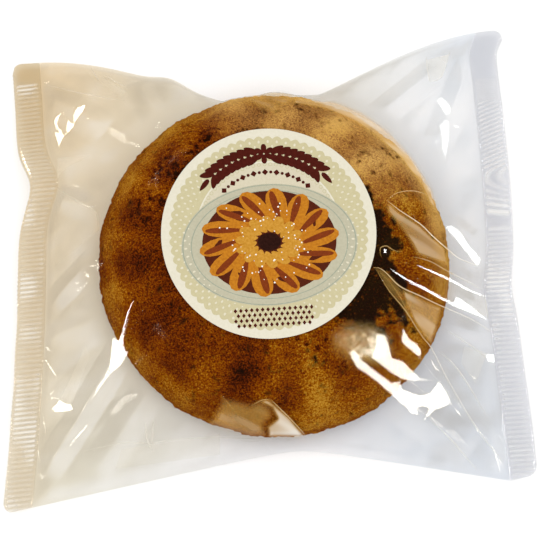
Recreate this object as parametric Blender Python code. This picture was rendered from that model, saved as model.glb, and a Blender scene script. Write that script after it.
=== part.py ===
"""Marbled ring cake sealed in a clear flow-wrap bag, with a round paper label on top.

The sealed bag is one solid, out to the surface of its film: the film drapes over the fluted
cake, runs out to a flat crimped seal at each end and carries creases, facets and flats where it
is pulled tight.
The label is a thin paper disc that lies on the film over the middle of the cake.
+X runs from one end seal to the other and +Z is up. The origin is on the table, under the
middle of the bag.
"""

import math

import bmesh
import bpy
import numpy as np
from mathutils import Vector
from mathutils.geometry import delaunay_2d_cdt

MM = 0.001

# The cake: a ring baked in a fluted mould, lying on its flat base
CAKE_X = 5.7 * MM
CAKE_Y = -3.35 * MM
CAKE_FORWARD = 0.6 * MM
CAKE_RADIUS = 87.2 * MM
CAKE_OVAL = 0.013
OVAL_TURN = math.radians(155)
CAKE_HEIGHT = 55.5 * MM
CREST_RADIUS = 42 * MM
RIM_HEIGHT = 8 * MM
SHOULDER = 2.5
FLUTES = 16
FLUTE_DEPTH = 2.6 * MM
FLUTE_TWIST = math.radians(12)
FLUTE_SHOW = 0.35
FOOT_RADIUS = 83 * MM
FOOT_SEGMENTS = 72

# The end seals: lengths along Y and places of their outer edges, from the cake's centre
SEAL_WIDTH = 14 * MM
SEAL_MIDDLE = 3 * MM
SEAL_HALF_LENGTH = 115.5 * MM
LEFT_EDGE = -134.8 * MM
LEFT_LEAN = 4.7 * MM
LEFT_WAIST = 6.2 * MM
LEFT_KINK = 7.4 * MM
LEFT_KINK_Y = 49 * MM
RIGHT_EDGE = 123.2 * MM
RIGHT_WAIST = 3.4 * MM
RIGHT_KINK = 3.2 * MM
RIGHT_KINK_Y = -20 * MM
RIGHT_EAR = 4.5 * MM
KINK_WIDTH = 15 * MM
CORNER_ROUNDING = 5 * MM

# The long sides, where the tube of film folds over, from the cake's centre
FAR_WAIST = 90.3 * MM
FAR_FLARE = 28 * MM
FAR_LEAN = 0.014
FAR_TIGHT_HALF = 25 * MM
FAR_FLARE_LENGTH = 96 * MM
NEAR_WAIST = -92.6 * MM
NEAR_SLOPE_LEFT = 0.162
NEAR_SLOPE_RIGHT = 0.222
NEAR_BEND = 12 * MM
NEAR_CORNER_FOLD_X = 109 * MM

# Heights of the film
SEAL_HEIGHT = 4 * MM
SEAL_LIFT = 6 * MM
KINK_LIFT = 6 * MM
SIDE_HEIGHT = 3 * MM
FILM_EDGE = 0.8 * MM
FILM_GAP = 0.5 * MM
PUFF = 0.04 * MM

# The label
LABEL_RADIUS = 50 * MM
LABEL_X = CAKE_X - 2.2 * MM
LABEL_Y = CAKE_Y + 6.8 * MM
LABEL_THICKNESS = 0.4 * MM
LABEL_GAP = 0.3 * MM
LABEL_CROWN = 57.2 * MM
LABEL_DROP = 1.1 * MM
LABEL_MARGIN = 3 * MM
LABEL_SEGMENTS = 48
LABEL_RINGS = 5

# The mesh of the upper film: columns between the seals, and rows from side to side
COLUMNS = 60
ROWS = 56
RELAX_STEPS = 1200
SHARP_ANGLE = math.radians(40)

# The folds fade out towards the rim and over the cake
RIM_FADE = 0.07
LOWEST_FILM = 0.6 * MM
ON_CAKE = 0.25
FADE_RADII = (70 * MM, 90 * MM)

# Creases of the upper film, from the cake's centre: start, end, height and half width in mm
CREASES = (
    ((54, 22), (104, 4), 3.5, 6),
    ((52, 6), (108, -24), 5.0, 6),
    ((48, -14), (106, -30), 5.5, 6),
    ((50, -30), (102, -44), 3.0, 6),
    ((50, -36), (112, -110), 5.5, 8),
    ((30, -54), (90, -98), 5.0, 10),
    ((-58, -20), (-118, -96), 6.0, 8),
    ((-52, -48), (-92, -96), 3.0, 9),
    ((-84, 26), (-118, 48), 5.5, 6),
    ((-80, 8), (-112, -14), 4.0, 7),
    ((-80, 70), (-118, 104), 5.0, 9),
    ((84, 52), (110, 104), 5.0, 8),
    ((52, 64), (92, 100), 3.5, 8),
    ((-50, 66), (-66, 100), 4.0, 7),
    ((-8, -62), (20, -90), 3.0, 7),
    ((-10, -62), (-36, -92), 3.0, 7),
)

# Facets between the creases: spacing round the cake, stretch away from it, and height
FACET_SPACING = 15 * MM
FACET_STRETCH = 2.2
FACET_HEIGHT = 1.1 * MM
FACET_SCATTER = 0.35
FACET_RING = 95 * MM
FACET_REACH = (56 * MM, 190 * MM)
FACET_SEED = 5

# Flats pulled into the film, from the cake's centre: slope along X and Y, and outline in mm
FLAT_EDGES = (-2.2 * MM, 0.3 * MM)
FLAT_RISE = 2.2 * MM
FLATS = (
    ((0.32, -0.30), ((-106, 87), (-98, 81), (-97, 74), (-102, 68))),
    ((0.33, -0.29), ((-98, 82), (-88, 88), (-92, 79), (-97, 75))),
    ((0.49, 0.27), ((-69, -18), (-79, -38), (-77, -47), (-68, -41))),
    ((0.45, 0.22), ((-77, -42), (-85, -54), (-104, -83), (-110, -82), (-88, -50))),
    ((0.43, 0.22), ((-112, -57), (-109, -62), (-102, -63), (-105, -58))),
    ((-0.43, 0.24), ((83, 11), (89, 11), (97, 6), (103, -6), (98, -9), (88, -3))),
    ((-0.42, 0.18), ((94, -28), (103, -24), (105, -33))),
    ((-0.41, 0.14), ((101, -52), (106, -52), (105, -57), (102, -57))),
    ((-0.35, 0.03), ((86, 79), (89, 76), (94, 68), (92, 67), (87, 72))),
    ((-0.36, 0), ((86, 69), (92, 61), (87, 55), (87, 44), (84, 41), (83, 49))),
    ((-0.36, 0.07), ((86, 102), (91, 102), (84, 88))),
    ((-0.42, 0.45), ((54, -64), (61, -60), (75, -64), (81, -70), (78, -74), (70, -82), (62, -79))),
)


def clear_scene():
    for item in list(bpy.data.objects):
        bpy.data.objects.remove(item)


def bump(value, centre, width):
    """A smooth bump of height 1 at centre."""
    return np.exp(-(((value - centre) / width) ** 2))


def smooth_step(value, start, end):
    """A share that rises smoothly from 0 at start to 1 at end."""
    share = np.clip((value - start) / (end - start), 0, 1)
    return share * share * (3 - 2 * share)


def left_edge(y):
    """X of the left seal's outer edge: it leans, is pulled in at its middle and has one kink."""
    share = y / SEAL_HALF_LENGTH
    straight = LEFT_EDGE + LEFT_LEAN * share
    return straight + LEFT_WAIST * (1 - share**2) + LEFT_KINK * bump(y, LEFT_KINK_Y, KINK_WIDTH)


def right_edge(y):
    """X of the right seal's outer edge: a shallow waist, a small kink and an ear at the far corner."""
    waist = RIGHT_WAIST * bump(y, -35 * MM, 52 * MM) + RIGHT_KINK * bump(y, RIGHT_KINK_Y, 14 * MM)
    ear = RIGHT_EAR * np.clip((y - 105 * MM) / (13 * MM), 0, 1) ** 2
    return RIGHT_EDGE - waist + ear


def far_side(x):
    """Y of the fold along the far side: tight to the cake, then flaring to the seals."""
    reach = np.clip((np.abs(x - 4 * MM) - FAR_TIGHT_HALF) / FAR_FLARE_LENGTH, 0, 1)
    ripples = 3.2 * MM * bump(x, 5 * MM, 10 * MM) + 3.5 * MM * bump(x, -48 * MM, 10 * MM)
    return FAR_WAIST + FAR_LEAN * x + FAR_FLARE * np.sin(reach * math.pi / 2) ** 1.1 + ripples


def near_side(x):
    """Y of the fold along the near side: a shallow V with a turned-up corner at its right end."""
    away = np.sqrt((x - 5 * MM) ** 2 + NEAR_BEND**2) - NEAR_BEND
    slope = np.where(x < 5 * MM, NEAR_SLOPE_LEFT, NEAR_SLOPE_RIGHT)
    turned_up = 0.4 * np.clip(x - NEAR_CORNER_FOLD_X, 0, None)
    return NEAR_WAIST - slope * away + turned_up


def seam_height(y, side):
    """Height of an end seal at y: lifted at its middle and at its kink; side is -1 or 1."""
    kink_y = LEFT_KINK_Y if side < 0 else RIGHT_KINK_Y
    lift = SEAL_LIFT * (1 - np.clip((y - SEAL_MIDDLE) / SEAL_HALF_LENGTH, -1, 1) ** 2)
    return SEAL_HEIGHT + lift + KINK_LIFT * bump(y, kink_y, KINK_WIDTH)


def from_cake(x, y):
    """Distance from the middle of the slightly oval cake, and direction."""
    turn = np.arctan2(y - CAKE_FORWARD, x)
    stretch = 1 + CAKE_OVAL * np.cos(2 * (turn - OVAL_TURN))
    return np.hypot(x, y - CAKE_FORWARD) / stretch, turn


def film_floor(x, y):
    """Height of the cake's crust under the film, which half bridges its grooves; zero beside it."""
    radius, turn = from_cake(x, y)
    outward = np.clip((radius - CREST_RADIUS) / (CAKE_RADIUS - CREST_RADIUS), 0, None)
    fall = np.clip(1 - outward**SHOULDER, 0, 1) ** 0.5
    ridges = np.cos(FLUTES * (turn + FLUTE_TWIST * outward))
    height = RIM_HEIGHT + (CAKE_HEIGHT - RIM_HEIGHT) * fall
    height += FLUTE_SHOW * FLUTE_DEPTH * 0.5 * (ridges - 1) * np.clip(outward * 1.6, 0, 1)
    return np.where(outward < 1, height, 0)


def from_label(x, y):
    """Distance from the label's centre."""
    return np.hypot(x + CAKE_X - LABEL_X, y + CAKE_Y - LABEL_Y)


def label_seat(x, y):
    """Height of the shallow dome that the stiff label presses into the film."""
    away = from_label(x, y)
    dome = LABEL_CROWN - LABEL_DROP * (away / LABEL_RADIUS) ** 2
    return np.where(away < LABEL_RADIUS + LABEL_MARGIN, dome, 0)


def crease(x, y, start, end, height, half_width):
    """Height of one crease: a sharp ridge between two points that dies out at both."""
    begin = np.array(start) * MM
    span = np.array(end) * MM - begin
    length = np.hypot(*span)
    along = ((x - begin[0]) * span[0] + (y - begin[1]) * span[1]) / length**2
    off = ((x - begin[0]) * span[1] - (y - begin[1]) * span[0]) / length
    taper = np.sin(np.pi * np.clip(along, 0, 1)) ** 0.7
    return height * MM * taper * np.clip(1 - np.sqrt((off / (half_width * MM)) ** 2 + 0.004), 0, 1)


def facet_corners(chance):
    """Scattered corners in rings round the cake, as arc length and shortened distance."""
    corners = []
    reach = FACET_REACH[0]
    count = int(2 * math.pi * FACET_RING / FACET_SPACING)
    step = 2 * math.pi / count
    while reach < FACET_REACH[1]:
        turns = (np.arange(-3, count + 4) + 0.5 * (len(corners) % 2)) * step
        turns = turns + chance.uniform(-FACET_SCATTER, FACET_SCATTER, len(turns)) * step
        out = reach + chance.uniform(-FACET_SCATTER, FACET_SCATTER, len(turns)) * FACET_SPACING * FACET_STRETCH
        corners += [Vector((turn * FACET_RING, place / FACET_STRETCH)) / MM for turn, place in zip(turns, out)]
        reach += FACET_SPACING * FACET_STRETCH
    return corners


def facets(x, y):
    """Height of flat facets that join random heights on scattered corners."""
    chance = np.random.default_rng(FACET_SEED)
    made = delaunay_2d_cdt(facet_corners(chance), [], [], 0, 0.0001)
    spots = np.array([tuple(corner) for corner in made[0]]) * MM
    rise = chance.uniform(-1, 1, len(spots)) * FACET_HEIGHT
    across = (np.arctan2(y, x) % (2 * math.pi)) * FACET_RING
    out = np.hypot(x, y) / FACET_STRETCH
    total = np.zeros(x.shape)
    for face in made[2]:
        a, b, c = (spots[corner] for corner in face)
        area = (b[0] - a[0]) * (c[1] - a[1]) - (b[1] - a[1]) * (c[0] - a[0])
        s = ((across - a[0]) * (c[1] - a[1]) - (out - a[1]) * (c[0] - a[0])) / area
        t = ((b[0] - a[0]) * (out - a[1]) - (b[1] - a[1]) * (across - a[0])) / area
        inside = (s >= 0) & (t >= 0) & (s + t <= 1)
        level = rise[face[0]] + s * (rise[face[1]] - rise[face[0]]) + t * (rise[face[2]] - rise[face[0]])
        total[inside] = level[inside]
    return total


def press_flats(x, y, height):
    """The film with each flat pressed in as a plane through the film's height at its middle."""
    for slope, corners in FLATS:
        ring = np.array(corners) * MM
        centre = ring.mean(axis=0)
        area = np.cross(ring, np.roll(ring, -1, axis=0)).sum()
        depth = np.full(x.shape, 1.0)
        for a, b in zip(ring, np.roll(ring, -1, axis=0)):
            side = (b - a) / np.hypot(*(b - a)) * np.sign(area)
            depth = np.minimum(depth, side[0] * (y - a[1]) - side[1] * (x - a[0]))
        away = np.hypot(x - centre[0], y - centre[1])
        level = height[away < away.min() + 2 * MM].mean()
        plane = level + slope[0] * (x - centre[0]) + slope[1] * (y - centre[1])
        change = np.clip(plane - height, -FLAT_RISE, FLAT_RISE)
        height = height + smooth_step(depth, *FLAT_EDGES) * change
    return height


def from_rim(x, y):
    """A share that rises from 0 at the film's rim to 1 further in."""
    near, far = near_side(x), far_side(x)
    across = 2 * (y - near) / (far - near) - 1
    end_y = SEAL_MIDDLE + SEAL_HALF_LENGTH * across
    left = left_edge(end_y) + SEAL_WIDTH
    right = right_edge(end_y) - SEAL_WIDTH
    along = 2 * (x - left) / (right - left) - 1
    return smooth_step(1 - np.abs(across), 0, RIM_FADE) * smooth_step(1 - np.abs(along), 0, RIM_FADE)


def plan_grid():
    """X and Y of the upper film's grid points, and which of them lie on the seals."""
    seal_steps = np.array([0, 0.1, 0.36, 1])[:, None] * SEAL_WIDTH
    inner = np.linspace(0, 1, COLUMNS + 1)[1:-1, None]
    across = np.linspace(-1, 1, ROWS + 1)
    end_y = SEAL_MIDDLE + SEAL_HALF_LENGTH * across
    left = left_edge(end_y)
    right = right_edge(end_y)
    between = left + SEAL_WIDTH + inner * (right - left - 2 * SEAL_WIDTH)
    x = np.concatenate([left + seal_steps, between, right - seal_steps[::-1]])
    cut = CORNER_ROUNDING - np.clip(np.minimum(x - left, right - x), 0, CORNER_ROUNDING)
    inset = CORNER_ROUNDING - np.sqrt(CORNER_ROUNDING**2 - cut**2)
    far = far_side(x) - inset
    near = near_side(x) + inset
    y = near + (across + 1) / 2 * (far - near)
    on_seal = np.zeros(x.shape, bool)
    on_seal[: len(seal_steps)] = True
    on_seal[-len(seal_steps):] = True
    return x, y, on_seal


def relaxed(height, floor, fixed, puff):
    """Stretches a sheet over what lies under it: each free point moves to its neighbours' mean,
    puffed out a little, but stays above the floor."""
    sheet = height.copy()
    for _ in range(RELAX_STEPS):
        mean = sheet.copy()
        mean[1:-1, 1:-1] = (sheet[:-2, 1:-1] + sheet[2:, 1:-1] + sheet[1:-1, :-2] + sheet[1:-1, 2:]) / 4
        sheet = np.where(fixed, height, np.maximum(mean + puff, floor))
    return sheet


def film_height(x, y, on_seal):
    """Height of the upper film: along the seals and the long sides, and between them."""
    seam = np.where(x < 0, seam_height(y, -1), seam_height(y, 1))
    side = np.zeros(x.shape, bool)
    side[:, 0] = True
    side[:, -1] = True
    to_seal = np.clip((np.abs(x - 0.5 * (LEFT_EDGE + RIGHT_EDGE)) - 60 * MM) / (52 * MM), 0, 1)
    rim = np.where(on_seal, seam, SIDE_HEIGHT + (seam - SIDE_HEIGHT) * to_seal**2)
    on_rim = on_seal | side
    floor = np.maximum(film_floor(x, y) + FILM_GAP, label_seat(x, y))
    under_label = label_seat(x, y) > 0
    puff = np.where(film_floor(x, y) > 0, 0, PUFF)
    upper = relaxed(np.where(on_rim, rim + FILM_EDGE, floor), floor, on_rim | under_label, puff)
    free = np.clip((from_label(x, y) - LABEL_RADIUS - LABEL_MARGIN) / (7 * MM), 0, 1) * ~on_rim
    free = free * from_rim(x, y)
    folded = upper
    for start, end, height, half_width in CREASES:
        folded = folded + free * crease(x, y, start, end, height, half_width)
    lifted = ON_CAKE + (1 - ON_CAKE) * smooth_step(from_cake(x, y)[0], *FADE_RADII)
    folded = press_flats(x, y, folded + free * lifted * facets(x, y))
    folded = np.maximum(folded, np.maximum(floor, LOWEST_FILM))
    return np.where(on_rim | under_label, upper, folded)


def upper_film(x, y, height, on_seal):
    """A bmesh of the upper film, with the faces of its two seals."""
    mesh = bmesh.new()
    bmesh.ops.create_grid(mesh, x_segments=x.shape[0] - 1, y_segments=x.shape[1] - 1, size=1)
    seal_points = set()
    for vertex in mesh.verts:
        column = round((vertex.co.x + 1) / 2 * (x.shape[0] - 1))
        row = round((vertex.co.y + 1) / 2 * (x.shape[1] - 1))
        vertex.co = (x[column, row] + CAKE_X, y[column, row] + CAKE_Y, height[column, row])
        if on_seal[column, row]:
            seal_points.add(vertex)
    bmesh.ops.triangulate(mesh, faces=mesh.faces[:])
    bmesh.ops.beautify_fill(mesh, faces=mesh.faces[:], edges=mesh.edges[:], method="ANGLE")
    return mesh, [face for face in mesh.faces if seal_points.issuperset(face.verts)]


def make_bag():
    """The sealed bag: its upper film, the underside of its seals, a thin wall round its edge, and
    a flat round foot under the cake with the under film rising from it."""
    x, y, on_seal = plan_grid()
    mesh, seal_faces = upper_film(x, y, film_height(x, y, on_seal), on_seal)
    rim = [edge for edge in mesh.edges if edge.is_boundary]
    underside = bmesh.ops.duplicate(mesh, geom=seal_faces)["geom"]
    wall = bmesh.ops.extrude_edge_only(mesh, edges=rim)["geom"]
    lowered = [item for item in underside + wall if isinstance(item, bmesh.types.BMVert)]
    bmesh.ops.translate(mesh, verts=lowered, vec=(0, 0, -FILM_EDGE))
    bmesh.ops.remove_doubles(mesh, verts=lowered, dist=FILM_EDGE / 100)
    opening = [edge for edge in mesh.edges if edge.is_boundary]
    foot = bmesh.ops.create_circle(mesh, cap_ends=True, radius=FOOT_RADIUS, segments=FOOT_SEGMENTS)
    bmesh.ops.translate(mesh, verts=foot["verts"], vec=(CAKE_X, CAKE_Y, 0))
    foot_edges = list({edge for vertex in foot["verts"] for edge in vertex.link_edges})
    bmesh.ops.bridge_loops(mesh, edges=opening + foot_edges)
    bmesh.ops.triangulate(mesh, faces=[face for face in mesh.faces if len(face.verts) > 3])
    bmesh.ops.recalc_face_normals(mesh, faces=mesh.faces)
    return add_object("bag", mesh, make_material("film_over_cake", (0.52, 0.30, 0.11), 0.15))


def make_label():
    """The paper disc, bent to the dome that it presses into the film."""
    mesh = bmesh.new()
    bmesh.ops.create_circle(mesh, cap_ends=True, radius=LABEL_RADIUS, segments=LABEL_SEGMENTS)
    for _ in range(LABEL_RINGS - 1):
        disc = max(mesh.faces, key=lambda face: len(face.verts))
        bmesh.ops.inset_individual(mesh, faces=[disc], thickness=LABEL_RADIUS / LABEL_RINGS)
    disc = max(mesh.faces, key=lambda face: len(face.verts))
    bmesh.ops.poke(mesh, faces=[disc])
    for vertex in mesh.verts:
        share = math.hypot(vertex.co.x, vertex.co.y) / LABEL_RADIUS
        vertex.co.z = LABEL_CROWN + LABEL_GAP - LABEL_DROP * share**2
        vertex.co.x += LABEL_X
        vertex.co.y += LABEL_Y
    raised = bmesh.ops.extrude_face_region(mesh, geom=mesh.faces[:], use_keep_orig=True)["geom"]
    for item in raised:
        if isinstance(item, bmesh.types.BMVert):
            item.co.z += LABEL_THICKNESS
    bmesh.ops.recalc_face_normals(mesh, faces=mesh.faces)
    return add_object("label", mesh, make_material("label_paper", (0.84, 0.82, 0.74), 0.45))


def add_object(name, mesh, material):
    data = bpy.data.meshes.new(name)
    mesh.to_mesh(data)
    mesh.free()
    item = bpy.data.objects.new(name, data)
    bpy.context.scene.collection.objects.link(item)
    item.data.materials.append(material)
    item.data.shade_smooth()
    item.data.set_sharp_from_angle(angle=SHARP_ANGLE)
    return item


def make_material(name, colour, roughness):
    material = bpy.data.materials.new(name)
    material.use_nodes = True
    shader = material.node_tree.nodes["Principled BSDF"]
    shader.inputs["Base Color"].default_value = (*colour, 1)
    shader.inputs["Roughness"].default_value = roughness
    shader.inputs["Metallic"].default_value = 0
    return material


clear_scene()
make_bag()
make_label()
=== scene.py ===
# Marbled ring cake in a clear flow-wrap bag with a round paper label
# Millimetres from the middle of the cake, turned to metres at the end
import math

import bmesh
import bpy
import numpy as np
from mathutils import Matrix, Vector
from mathutils.geometry import delaunay_2d_cdt


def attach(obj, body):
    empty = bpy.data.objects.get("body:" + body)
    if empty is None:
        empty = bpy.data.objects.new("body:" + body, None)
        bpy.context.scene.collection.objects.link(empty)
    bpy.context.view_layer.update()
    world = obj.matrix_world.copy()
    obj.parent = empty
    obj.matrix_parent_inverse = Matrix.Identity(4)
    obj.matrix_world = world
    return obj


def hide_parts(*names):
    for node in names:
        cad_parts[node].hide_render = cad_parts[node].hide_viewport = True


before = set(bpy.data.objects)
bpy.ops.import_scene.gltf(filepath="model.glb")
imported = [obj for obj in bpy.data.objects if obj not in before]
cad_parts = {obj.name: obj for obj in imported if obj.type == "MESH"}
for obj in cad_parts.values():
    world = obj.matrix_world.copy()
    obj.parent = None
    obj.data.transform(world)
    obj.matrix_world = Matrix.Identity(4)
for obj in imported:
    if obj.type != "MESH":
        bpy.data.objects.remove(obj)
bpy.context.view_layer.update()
print("frame loaded", sorted(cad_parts))

cake = {
    "middle": (5.7, -3.35),
    "forward": 0.6,
    "radius": 87.2,
    "oval": 0.013,
    "ovalTurn": math.radians(155),
    "height": 55.5,
    "crestRadius": 42,
    "holeRadius": 13,
    "rimHeight": 8,
    "shoulder": 2.5,
    "flutes": 16,
    "fluteDepth": 2.6,
    "fluteTwist": math.radians(12),
    "fluteShow": 0.35,
    "base": 0.35,
    "spinSteps": 640,
}

bag = {
    "sealWidth": 14,
    "sealMiddle": 3,
    "sealHalf": 115.5,
    "sealHeight": 4.4,
    "sealLift": 6,
    "kinkLift": 6,
    "kinkWidth": 15,
    "sideHeight": 3.4,
    "leftEdge": -134.8,
    "leftLean": 4.7,
    "leftWaist": 6.2,
    "leftKink": 7.4,
    "leftKinkY": 49,
    "rightEdge": 123.2,
    "rightWaist": 3.4,
    "rightKink": 3.2,
    "rightKinkY": -20,
    "rightEar": 4.5,
    "cornerRounding": 5,
    "farWaist": 90.3,
    "farLean": 0.014,
    "farFlare": 28,
    "farRipples": ((3.2, 5), (3.5, -48)),
    "nearWaist": -92.6,
    "nearSlopes": (0.162, 0.222),
    "nearTip": 0.4,
}

label = {
    "middle": (-2.2, 6.8),
    "radius": 50,
    "crown": 57.2,
    "drop": 1.1,
    "gap": 0.3,
    "thickness": 0.4,
    "margin": 3,
}


# Small helpers


def bump(value, centre, width):
    return np.exp(-(((value - centre) / width) ** 2))


def spot(points, x, y, width):
    return bump(points[..., 0], x, width) * bump(points[..., 1], y, width)


def smoothStep(value, start, end):
    share = np.clip((value - start) / (end - start), 0, 1)
    return share * share * (3 - 2 * share)


def softNoise(points, size, seed):
    # smooth values from about -1 to 1 that change over the size
    table = np.random.default_rng(seed).uniform(-1, 1, (32, 32, 32))
    spots = np.asarray(points, float) / size + 7.3
    low = np.floor(spots).astype(int)
    part = spots - low
    part = part * part * (3 - 2 * part)
    total = np.zeros(spots.shape[:-1])
    for corner in range(8):
        step = np.array([corner & 1, corner >> 1 & 1, corner >> 2 & 1])
        share = np.prod(np.where(step, part, 1 - part), axis=-1)
        cell = (low + step) % 32
        total += share * table[cell[..., 0], cell[..., 1], cell[..., 2]]
    return total * 1.6


def linearColour(code):
    # sRGB hex to the linear values that Blender's sockets take
    parts = [int(code[i : i + 2], 16) / 255 for i in (1, 3, 5)]
    return (*[c / 12.92 if c <= 0.04045 else ((c + 0.055) / 1.055) ** 2.4 for c in parts], 1)


def newMaterial(name):
    material = bpy.data.materials.new(name)
    material.use_nodes = True
    tree = material.node_tree
    tree.nodes.clear()

    def add(kind, inputs, out=0, stops=(), **settings):
        # a node with its settings, values, links and ramp colours; gives one output
        node = tree.nodes.new("ShaderNode" + kind)
        for setting, value in settings.items():
            setattr(node, setting, value)
        for socket, value in inputs.items() if isinstance(inputs, dict) else enumerate(inputs):
            if isinstance(value, bpy.types.NodeSocket):
                tree.links.new(value, node.inputs[socket])
            else:
                node.inputs[socket].default_value = linearColour(value) if isinstance(value, str) else value
        for index, (place, code) in enumerate(stops):
            ramp = node.color_ramp.elements
            stop = ramp[index] if index < 2 else ramp.new(place)
            stop.position = place
            stop.color = linearColour(code)
        return node.outputs[out] if len(node.outputs) else node

    return material, add


def newObject(name, mesh, material):
    data = bpy.data.meshes.new(name)
    mesh.to_mesh(data)
    mesh.free()
    data.materials.append(material)
    made = bpy.data.objects.new(name, data)
    bpy.context.scene.collection.objects.link(made)
    return made


def finishPiece(name, mesh, material, node, smooth=True):
    # in metres, riding on the body and standing for its CAD node
    bmesh.ops.translate(mesh, verts=mesh.verts, vec=(*cake["middle"], 0))
    bmesh.ops.scale(mesh, verts=mesh.verts, vec=(0.001, 0.001, 0.001))
    piece = newObject(name, mesh, material)
    piece.data.polygons.foreach_set("use_smooth", [smooth] * len(piece.data.polygons))
    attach(piece, "root")
    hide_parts(node)
    return piece


def faceUp(mesh):
    for face in mesh.faces:
        face.normal_update()
        if face.normal.z < 0:
            face.normal_flip()


def thicken(piece, millimetres, offset):
    wall = piece.modifiers.new("wall", "SOLIDIFY")
    wall.thickness = millimetres / 1000
    wall.offset = offset


def gridSheet(mesh, places, layers):
    # quads through the places, with a float or vector layer for each named array
    columns, rows = places.shape[0] - 1, places.shape[1] - 1
    kinds = mesh.verts.layers
    stores = {}
    for name, values in layers.items():
        held = kinds.float_vector if values.ndim == 3 else kinds.float
        stores[name] = held.get(name) or held.new(name)
    made = bmesh.ops.create_grid(mesh, x_segments=columns, y_segments=rows, size=1)["verts"]
    for vertex in made:
        column = round((vertex.co.x + 1) / 2 * columns)
        row = round((vertex.co.y + 1) / 2 * rows)
        vertex.co = places[column, row]
        for name, store in stores.items():
            vertex[store] = layers[name][column, row]
    return made


# The bag's plan and the heights of its seams


def leftEdge(y):
    share = y / bag["sealHalf"]
    waist = bag["leftWaist"] * (1 - share**2)
    kink = bag["leftKink"] * bump(y, bag["leftKinkY"], bag["kinkWidth"])
    return bag["leftEdge"] + bag["leftLean"] * share + waist + kink


def rightEdge(y):
    waist = bag["rightWaist"] * bump(y, -35, 52) + bag["rightKink"] * bump(y, bag["rightKinkY"], 14)
    return bag["rightEdge"] - waist + bag["rightEar"] * np.clip((y - 105) / 13, 0, 1) ** 2


def farSide(x):
    reach = np.clip((np.abs(x - 4) - 25) / 96, 0, 1)
    flare = bag["farFlare"] * np.sin(reach * math.pi / 2) ** 1.1
    ripples = sum(height * bump(x, place, 10) for height, place in bag["farRipples"])
    return bag["farWaist"] + bag["farLean"] * x + flare + ripples


def nearSide(x):
    away = np.sqrt((x - 5) ** 2 + 144) - 12
    slope = np.where(x < 5, *bag["nearSlopes"])
    return bag["nearWaist"] - slope * away + bag["nearTip"] * np.clip(x - 109, 0, None)


def seamHeight(y, side):
    kinkY = bag["leftKinkY"] if side < 0 else bag["rightKinkY"]
    lift = bag["sealLift"] * (1 - np.clip((y - bag["sealMiddle"]) / bag["sealHalf"], -1, 1) ** 2)
    return bag["sealHeight"] + lift + bag["kinkLift"] * bump(y, kinkY, bag["kinkWidth"])


def betweenSides(x, across, inset=0):
    near = nearSide(x) + inset
    return near + (across + 1) / 2 * (farSide(x) - inset - near)


def innerLines(across):
    # x of the seals' inner lines, at a share of the way across the bag
    y = bag["sealMiddle"] + bag["sealHalf"] * across
    return leftEdge(y) + bag["sealWidth"], rightEdge(y) - bag["sealWidth"]


def filmPlan(fine=1):
    across = np.linspace(-1, 1, film["rows"] * fine + 1)[None, :]
    along = np.linspace(0, 1, film["columns"] * fine + 1)[:, None]
    left, right = innerLines(across)
    x = left + along * (right - left)
    return x, betweenSides(x, across)


# Heights of the crust and of the label


def ovalShare(turn):
    return 1 + cake["oval"] * np.cos(2 * (turn - cake["ovalTurn"]))


def fromCake(x, y):
    # distance from the middle of the slightly oval cake
    return np.hypot(x, y - cake["forward"]) / ovalShare(np.arctan2(y - cake["forward"], x))


def beyond(points, start, end):
    return smoothStep(fromCake(points[..., 0], points[..., 1]), start, end)


def outwardShare(radius):
    return np.clip((radius - cake["crestRadius"]) / (cake["radius"] - cake["crestRadius"]), 0, None)


def flutes(turn, outward):
    return np.cos(cake["flutes"] * (turn + cake["fluteTwist"] * outward))


def crustFall(outward):
    # height of the crust without its flutes
    fall = np.clip(1 - outward ** cake["shoulder"], 0, 1) ** 0.5
    return cake["rimHeight"] + (cake["height"] - cake["rimHeight"]) * fall


def cakeTop(x, y):
    outward = outwardShare(fromCake(x, y))
    ridges = flutes(np.arctan2(y - cake["forward"], x), outward)
    dip = cake["fluteShow"] * cake["fluteDepth"] * 0.5 * (ridges - 1) * np.clip(outward * 1.6, 0, 1)
    return np.where(outward < 1, crustFall(outward) + dip, 0)


def fromLabel(x, y):
    return np.hypot(x - label["middle"][0], y - label["middle"][1])


def labelDome(x, y):
    return label["crown"] - label["drop"] * (fromLabel(x, y) / label["radius"]) ** 2


def labelSeat(x, y):
    return np.where(fromLabel(x, y) < label["radius"] + label["margin"], labelDome(x, y), 0)


# Studio lights

studio = {
    "world": 0.66,
    "target": (0.004, -0.002, 0.03),
    "lens": (-0.0034, -0.119, 0.595),
    # azimuth from the front to the right, elevation, distance, width, height, radiance, colour
    # and whether it lights the scene (or else only the glares)
    "boxes": {
        "overhead": (0, 84, 1.7, 2.2, 2.2, 1.34, "#ffffff", True),
        "frontRight": (52, 22, 1.1, 0.4, 0.26, 18, "#fff6e6", False),
        "rightHigh": (80, 30, 1.1, 0.22, 0.16, 24, "#ffffff", False),
        "backRight": (112, 36, 1.1, 0.2, 0.18, 22, "#ffffff", False),
        "leftHigh": (-72, 28, 1.1, 0.26, 0.2, 24, "#fffaf0", False),
        "backLeft": (-140, 20.5, 1.2, 0.26, 0.18, 24, "#fffaf0", False),
    },
}


def boxPlace(name):
    azimuth, elevation, distance = studio["boxes"][name][:3]
    side, up = math.radians(azimuth), math.radians(elevation)
    way = Vector((math.sin(side) * math.cos(up), -math.cos(side) * math.cos(up), math.sin(up)))
    return Vector(studio["target"]) + way * distance, way


# Glare: facets and lines of film that face halfway between the lens and a softbox

glare = {
    "step": 0.5,
    "patch": 0.9,
    "pleatHeight": 0.4,
    "lift": 0.2,
    "liftStep": 0.03,
    "lineLift": 0.105,
    "panelLift": 0.15,
    "streaks": ((0.05, 0.2, 0), (-0.03, 0.35, 0), (0, 0, 0)),
}
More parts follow.
